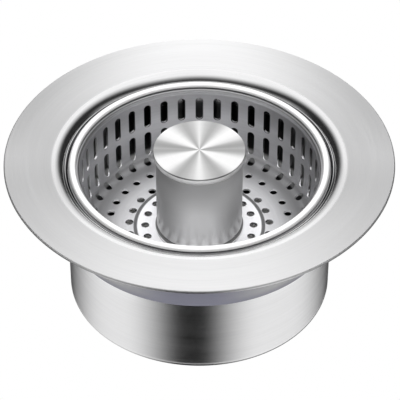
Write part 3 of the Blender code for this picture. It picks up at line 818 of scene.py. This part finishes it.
def basket_shade(look):
    """Shares of the basket's colour: painted shade on cuts, groove, corner, wall, lip and floor's rim;
    painted light on side and hole cuts, painted glints at slot ends; paler floor middle.
    """
    floor, deep = look.z.step(22.0, 21.0), depth_in_sheet(look)
    groove = floor * abs(look.radius - GROOVE_AT).step(0.7, 0.4)
    middle = floor * floor_middle(look)
    rolled = deep.step(0.005, 0.05) * look.z.step(25.0, 26.2)
    cut = (inner_off(deep) * (1 - groove)).at_least(rolled) * deep.step(0.79, 0.72)
    corner = look.z.step(26.2, 22.5) * look.radius.step(27.0, 31.0)
    rim = floor * look.radius.step(23.0, 31.0)
    grey = 1 + cut * (side_slots(look) * SIDE_SLOT_PALE - middle * MIDDLE_CUT_GREY - CUT_GREY)
    grey += hole_sides(look, deep) * HOLE_SIDE_PALE
    grey -= corner * CORNER_GREY + groove * GROOVE_GREY + rim * FLOOR_RIM_GREY + floor * FLOOR_GREY
    right = look.cos.at_least(0.0) * look.z.step(24.0, 30.0)
    wall = look.z.step(33.0, 40.0) * WALL_TOP_GREY + right * WALL_RIGHT_GREY
    grey = (grey - wall * look.z.step(43.0, 42.2)).at_least(LEAST_WALL_GREY)
    lip = look.z.step(43.1, 43.6) * look.radius.step(35.2, 35.5)
    return grey + slot_ends(look, deep) * SLOT_END_GLINT + middle * MIDDLE_PALE - lip * LIP_GREY


def basket_metal(look):
    """Metallic share of the basket: brushed floor and cut ends scatter more light."""
    deep = depth_in_sheet(look)
    matt = floor_middle(look) * MIDDLE_MATT + look.radius.step(29.0, 20.0) * NEAR_MATT + FLOOR_MATT
    cut = slot_ends(look, deep) + hole_sides(look, deep)
    cut += inner_off(deep) * side_slots(look) * SIDE_SLOT_SHARE
    return (BASKET_METAL - low_down(look) * matt - cut * CUT_MATT).clamped()


def basket_rough(look):
    """Roughness of the basket, higher on its floor."""
    return low_down(look) * (FLOOR_ROUGH - BASKET_ROUGH) + BASKET_ROUGH


# Knob, bead, plate and collar
# Painted light towards the tube's foot and painted shade to its sides
TUBE_GREY, TUBE_FOOT_PALE, LEAST_TUBE_GREY = 0.78, 0.5, 0.2
SIDE_GREY, SIDE_LOW_GREY, RIGHT_PALE, RIGHT_LOW_GREY = 0.25, 0.55, 0.37, 0.35
CAP_SIDE = (49.25, 49.15)
# Painted shade on the cap's edge and its side
CAP_EDGE_GREY, CAP_SIDE_GREY, CAP_METAL, CAP_SIDE_MATT, CAP_LOW_METAL = 0.15, 0.5, 0.93, 0.45, 0.3
# Painted shade on the bead's flanks, towards the plate's edge and on the collar's top
BEAD_OUTER_GREY, BEAD_INNER_GREY, PLATE_GREY, COLLAR_GREY = 0.45, 0.25, 0.3, 0.8

# Painted highlights and shade of the cap's spokes: (share of the way from front to back, share of its colour)
CAP_PAINTED_SPOKES = (
    (0.0, 0.79), (0.02, 0.75), (0.05, 0.61), (0.10, 0.47), (0.15, 0.41), (0.18, 0.46), (0.215, 0.62),
    (0.25, 0.86), (0.28, 0.97), (0.35, 1.0), (0.39, 1.0), (0.42, 0.84), (0.45, 0.60), (0.475, 0.47),
    (0.50, 0.46), (0.517, 0.52), (0.545, 0.42), (0.57, 0.42), (0.60, 0.52), (0.635, 0.80), (0.68, 0.96),
    (0.74, 0.98), (0.78, 0.83), (0.83, 0.56), (0.87, 0.43), (0.90, 0.43), (0.95, 0.55), (1.0, 0.77))


def tube_shade(look):
    """Painted light and shade on the satin tube: paler towards its foot and greyer to the sides, less so at
    the top of the right.
    """
    side = abs(look.cos).step(0.08, 0.88)
    right = look.cos.step(-0.05, 0.05)
    low = look.z.step(44.0, 30.0)
    middle = look.z.step(47.0, 29.0) * TUBE_FOOT_PALE + TUBE_GREY
    fall = low * SIDE_LOW_GREY + SIDE_GREY + right * (low * RIGHT_LOW_GREY - RIGHT_PALE)
    return (middle - side * fall).at_least(LEAST_TUBE_GREY)


def cap_shade(look):
    """Painted highlights of the spun cap's spokes, the same on its two sides, painted shade on its edge and
    on its plain side to the sides.
    """
    angle = look.math("ARCTAN2", look.sin, abs(look.cos))
    face = look.ramp(angle * (1 / math.pi) + 0.5, CAP_PAINTED_SPOKES)
    side = look.z.step(*CAP_SIDE)
    edge = look.radius.step(13.35, 13.45) * (1 - side)
    plain = 1 - look.cos * look.cos * CAP_SIDE_GREY
    return (face - edge * CAP_EDGE_GREY).at_least(side * plain)


def cap_metal(look):
    """Metallic share of the cap, whose side scatters more light near its top."""
    side = look.z.step(*CAP_SIDE) * CAP_SIDE_MATT
    return (CAP_METAL - side + look.z.step(48.8, 48.0) * CAP_LOW_METAL).clamped()


def bead_shade(look):
    """Painted shade on the flanks of the bead."""
    return 1 - look.radius.step(37.6, 38.4) * BEAD_OUTER_GREY - look.radius.step(36.7, 36.2) * BEAD_INNER_GREY


def plate_shade(look):
    """Seal plate with painted shade towards its edge."""
    return 1 - look.radius.step(23.0, 30.0) * PLATE_GREY


def collar_shade(look):
    """Pale foot of the collar, and painted shade on its top under the tube."""
    return 1 - look.z.step(21.0, 21.2) * COLLAR_GREY


# Materials
brim_steel = turned_steel("brim_steel", (0.93, 0.93, 0.935), brim_rough, 0.9, broad=0.08, pitch=0.5,
                          metallic=flange_metal, shade=flange_shade)
wall_steel = turned_steel("wall_steel", (0.87, 0.87, 0.89), basket_rough, 0.4, pitch=0.6,
                          metallic=basket_metal, shade=basket_shade)
bead_steel = turned_steel("bead_steel", (0.8, 0.8, 0.8), 0.4, 0.0, streak=0.02, broad=0.02, bump=0.03,
                          metallic=0.45, shade=bead_shade)
tube_steel = turned_steel("tube_steel", (0.88, 0.88, 0.88), 0.33, 0.2, streak=0.015, broad=0.03,
                          rough_streak=0.015, bump=0.0, pitch=0.9, shade=tube_shade, metallic=0.75)
cap_steel = turned_steel("cap_steel", (0.99, 0.99, 0.99), 0.34, 0.9, streak=0.03, shade=cap_shade,
                         metallic=cap_metal)
plate_steel = turned_steel("plate_steel", (0.55, 0.55, 0.56), 0.32, 0.6)
pale_steel = turned_steel("pale_steel", (0.95, 0.95, 0.95), 0.36, 0.5, metallic=0.1, shade=plate_shade)
collar_steel = turned_steel("collar_steel", (0.9, 0.9, 0.9), 0.3, 0.5, metallic=0.2, shade=collar_shade)
lavender = moulded("lavender_silicone", (0.155, 0.155, 0.195), 0.6, sheen=gasket_painted_sheen)
# milky silicone of the seal, darkened to a painted shade
shaded_silicone = moulded("silicone_with_painted_shade", (0.21, 0.21, 0.215), 0.4)
black = moulded("black_rubber", (0.02, 0.02, 0.021), 0.55)
nylon = moulded("white_nylon", (0.75, 0.74, 0.70), 0.45)
brass = moulded("turned_brass", (0.72, 0.52, 0.24), 0.3, metallic=1.0, vary=0.04)
wire = moulded("wire_steel", (0.4, 0.4, 0.41), 0.3, metallic=1.0, vary=0.04)

# Turned pieces, outlined by corners with fillets
slope_start = BRIM_RADIUS - BRIM_FLAT_WIDTH
throat_centre = SLEEVE_RADIUS - FLANGE_SHEET + THROAT_BEND
throat_top, step_top, step_foot, throat_foot = THROAT_ANGLES
seat_bore = SEAT_RADIUS - FLANGE_SHEET
flange = lathe("visual_flange", [
    (BRIM_RADIUS, BRIM_TOP - FLANGE_SHEET, BRIM_ROUND), (BRIM_RADIUS, BRIM_TOP, BRIM_ROUND),
    (slope_start, BRIM_TOP, SLOPE_ROUND),
    (throat_centre, GASKET_TOP, THROAT_BEND, throat_top, step_top),
    (STEP_RADII[0], STEP_LEVEL, 0.06), (STEP_RADII[1], STEP_LEVEL, 0.08),
    (throat_centre, GASKET_TOP, THROAT_BEND, step_foot, throat_foot),
    (SLEEVE_RADIUS - FLANGE_SHEET, FLANGE_SHEET, 0.25), (SEAT_RADIUS, FLANGE_SHEET, 0.3),
    (SEAT_RADIUS, SEAT_TOP, 0.45), (seat_bore, SEAT_TOP, 0.45), (seat_bore, FOOT, 0.6),
    (SLEEVE_RADIUS, FOOT, FOOT_ROUND), (SLEEVE_RADIUS, BRIM_TOP - SLEEVE_ROUND_DROP, SLEEVE_ROUND),
    (slope_start, BRIM_TOP - FLANGE_SHEET, SLOPE_ROUND)], brim_steel)
place(flange, "sink_flange", "flange")

gasket = lathe("visual_gasket", [
    (GASKET_INSIDE, GASKET_FOOT, 0.2), (GASKET_RADIUS, GASKET_FOOT, 0.15), (GASKET_RADIUS, GASKET_TOP, 0.7),
    (GASKET_INSIDE, GASKET_TOP, 0.2)], lavender)
place(gasket, "neck_gasket", "flange")

seal = lathe("visual_seal", [
    (SEAL_INSIDE, SEAL_FOOT, 0.2), (SEAL_LEG_RADIUS, SEAL_FOOT, 0.2), (*SEAL_SHOULDER, 1.0),
    (SEAL_RADIUS, SEAL_TOP, 0.15), (SEAL_LEDGE_RADIUS, SEAL_TOP, 0.2),
    (SEAL_LEDGE_RADIUS, SEAL_LEDGE_TOP, 0.3), (SEAL_INSIDE, SEAL_LEDGE_TOP, 0.2)], shaded_silicone)
place(seal, "rim_seal", "seal")

rim = lathe("visual_rim", [
    (BEAD_INSIDE, BEAD_FOOT, 0.2), (BEAD_RADIUS, BEAD_FOOT, 0.2), (BEAD_RADIUS, BEAD_TOP, 0.85),
    (BEAD_INSIDE, BEAD_TOP, 0.7)], bead_steel)
place(rim, "basket_rim", "basket")

collar = lathe("visual_collar", [
    (COLLAR_INSIDE, COLLAR_FOOT, 0.05), (COLLAR_RADIUS, COLLAR_FOOT, 0.15),
    (COLLAR_RADIUS, COLLAR_TOP - COLLAR_CHAMFER, 0.2), (COLLAR_RADIUS - COLLAR_CHAMFER, COLLAR_TOP, 0.2),
    (COLLAR_INSIDE, COLLAR_TOP, 0.05)], collar_steel)
place(collar, "post_collar", "basket")

shell = lathe("visual_shell", [
    (SHELL_RADIUS - SHELL_WALL, SHELL_FOOT, 0.1), (SHELL_RADIUS, SHELL_FOOT, 0.25),
    (SHELL_RADIUS, SHELL_TOP, 0.2), (SHELL_RADIUS - SHELL_WALL, SHELL_TOP, 0.1)], tube_steel)
place(shell, "knob_shell", "plug")

bore_end = CAP_FOOT + CAP_BORE_DEPTH
cap = lathe("visual_cap", [
    (0, bore_end, 0), (CAP_BORE, bore_end, 0.1), (CAP_BORE, CAP_FOOT, 0.1),
    (SPIGOT_RADIUS - SPIGOT_WALL, CAP_FOOT, 0.1), (SPIGOT_RADIUS - SPIGOT_WALL, SPIGOT_FOOT, 0.1),
    (SPIGOT_RADIUS, SPIGOT_FOOT, 0.1), (SPIGOT_RADIUS, CAP_FOOT, 0.1), (CAP_RADIUS, CAP_FOOT, 1.0),
    (CAP_RADIUS, CAP_TOP - CAP_EDGE_DROP, 0.1), (CAP_RADIUS - CAP_EDGE_WIDTH, CAP_TOP, 0.1),
    (0, CAP_TOP, 0)], cap_steel)
place(cap, "knob_cap", "plug")

basket = basket_mesh(wall_steel)
place(basket, "strainer_basket", "basket")

# CAD nodes that keep their own mesh
for node, material in (
        ("core_housing", brass), ("housing_washer", plate_steel), ("housing_nut", brass),
        ("stem_bush", nylon), ("stem_o_ring", black), ("core_spring", wire),
        ("latch_cam", nylon), ("latch_rotor", nylon), ("rotor_clip", wire),
        ("cap_insert", nylon), ("glide_ring", nylon), ("stem", plate_steel), ("seal_plate", pale_steel),
        ("seal_disc", black), ("seal_retainer", plate_steel), ("stem_nut", brass)):
    for material_slot in nodes[node].material_slots:
        material_slot.material = material


# Studio, in metres
def pale_floor(half, z):
    """White floor that reflections don't see."""
    material = bpy.data.materials.new("pale_floor")
    material.use_nodes = True
    tree = material.node_tree
    tree.nodes.remove(tree.nodes["Principled BSDF"])
    emission = tree.nodes.new("ShaderNodeEmission")
    tree.links.new(emission.outputs[0], tree.nodes["Material Output"].inputs["Surface"])
    mesh = bpy.data.meshes.new("floor")
    corners = [(-half, -half, z), (half, -half, z), (half, half, z), (-half, half, z)]
    mesh.from_pydata(corners, [], [(0, 1, 2, 3)])
    mesh.materials.append(material)
    made = bpy.data.objects.new("floor", mesh)
    scene.collection.objects.link(made)
    made.visible_glossy = False


# Light by the direction that it comes from: steps in degrees, or in x, y and z of the direction
BOX_SIDE, BOX_FLARE, BOX_LEVEL, BOX_FRONT = (0.08, 0.62), 0.35, 0.64, (85, 132)
BOX_LIGHT, ROOM_LIGHT, MATT_LIGHT = 1.3, 0.03, 0.15
CARD_TURN, CARD_EDGE = 7, (8, 60)
SIDE_EDGE, SIDE_DIM, FLOOR_LIGHT = (92, 150), 0.95, 0.95
BACK_EDGE, BACK_LEVEL, BACK_GAIN = (166, 178), (-0.55, -0.42), 1.25
HORIZON = (-0.12, 0.06)
FRONT_SIDE, FRONT_LOW, FRONT_TOP, FRONT_LIGHT = (0.25, -0.2), (0.1, 0.28), (0.66, 0.5), 0.42


def degrees_step(angle, edge):
    """Smooth step of an angle between two values in degrees."""
    return angle.step(*(math.radians(a) for a in edge))


def upper_light(sky):
    """A soft box overhead and behind, wider overhead, in a dim room."""
    across = (abs(sky.x) - (sky.z - BOX_LEVEL) * BOX_FLARE).step(*BOX_SIDE)
    over = degrees_step(sky.math("ARCTAN2", sky.z, sky.y), BOX_FRONT)
    return (1 - across) * (1 - over) * (BOX_LIGHT - ROOM_LIGHT) + ROOM_LIGHT


def lower_light(sky):
    """Pale floor with a soft black card in front, dimmer at the sides and bright low at the back."""
    angle = sky.math("ARCTAN2", sky.x, 0 - sky.y)
    card = degrees_step(abs(angle + math.radians(CARD_TURN)), CARD_EDGE)
    side = 1 - degrees_step(abs(angle), SIDE_EDGE) * SIDE_DIM
    back = degrees_step(abs(angle), BACK_EDGE) * sky.z.step(*BACK_LEVEL)
    return (card * side).at_least(back * BACK_GAIN) * FLOOR_LIGHT


def studio_world():
    """Studio light for reflections, white for the camera and even light for matt surfaces."""
    world = bpy.data.worlds.new("studio")
    sky = Tree(world, "Generated")
    path = sky.add("ShaderNodeLightPath")
    seen, matt = (Term(sky, path.outputs[name]) for name in ("Is Camera Ray", "Is Diffuse Ray"))
    upper, lower = upper_light(sky), lower_light(sky)
    front = sky.z.step(*FRONT_LOW) * sky.z.step(*FRONT_TOP) * sky.y.step(*FRONT_SIDE) * (1 - matt)
    light = lower + sky.z.step(*HORIZON) * (upper - lower) + front * FRONT_LIGHT
    light = light.at_least(seen.at_least(matt * MATT_LIGHT))
    background = sky.nodes["Background"]
    background.inputs["Strength"].default_value = 1.0
    sky.put(background.inputs["Color"], light)
    scene.world = world


def soft_card(name, location, wide, tall, power):
    """Large soft light for matt surfaces, aimed at the drain."""
    data = bpy.data.lights.new(name, "AREA")
    data.shape, data.size, data.size_y, data.energy = "RECTANGLE", wide, tall, power
    made = bpy.data.objects.new(name, data)
    made.location = location
    made.rotation_euler = Vector(location).to_track_quat("Z", "Y").to_euler()
    made.visible_camera = made.visible_glossy = False
    scene.collection.objects.link(made)


STAGE_HALF, STAGE_LEVEL = 3.0, -0.0001
pale_floor(STAGE_HALF, STAGE_LEVEL)
studio_world()
soft_card("front_card", (0, -1.15, 0.97), 1.3, 0.8, 24)
soft_card("top_card", (0, 0.1, 1.5), 1.4, 1.4, 19)

# Camera at the photograph's angle, fitted to its ellipses
DISTANCE, ELEVATION, PITCH = 0.600, math.radians(40.05), math.radians(41.27)
FOCAL_PIXELS, IMAGE_PIXELS, SENSOR, SHIFT = 2051.44, 400, 36, 0.0016
camera_data = bpy.data.cameras.new("camera")
camera_data.sensor_width = SENSOR
camera_data.lens = FOCAL_PIXELS * SENSOR / IMAGE_PIXELS
camera_data.shift_x = SHIFT
camera = bpy.data.objects.new("camera", camera_data)
camera.location = (0, -DISTANCE * math.cos(ELEVATION), BRIM_TOP * MM + DISTANCE * math.sin(ELEVATION))
camera.rotation_euler = (math.pi / 2 - PITCH, 0, 0)
scene.collection.objects.link(camera)
scene.camera = camera
scene.view_settings.view_transform = "Standard"
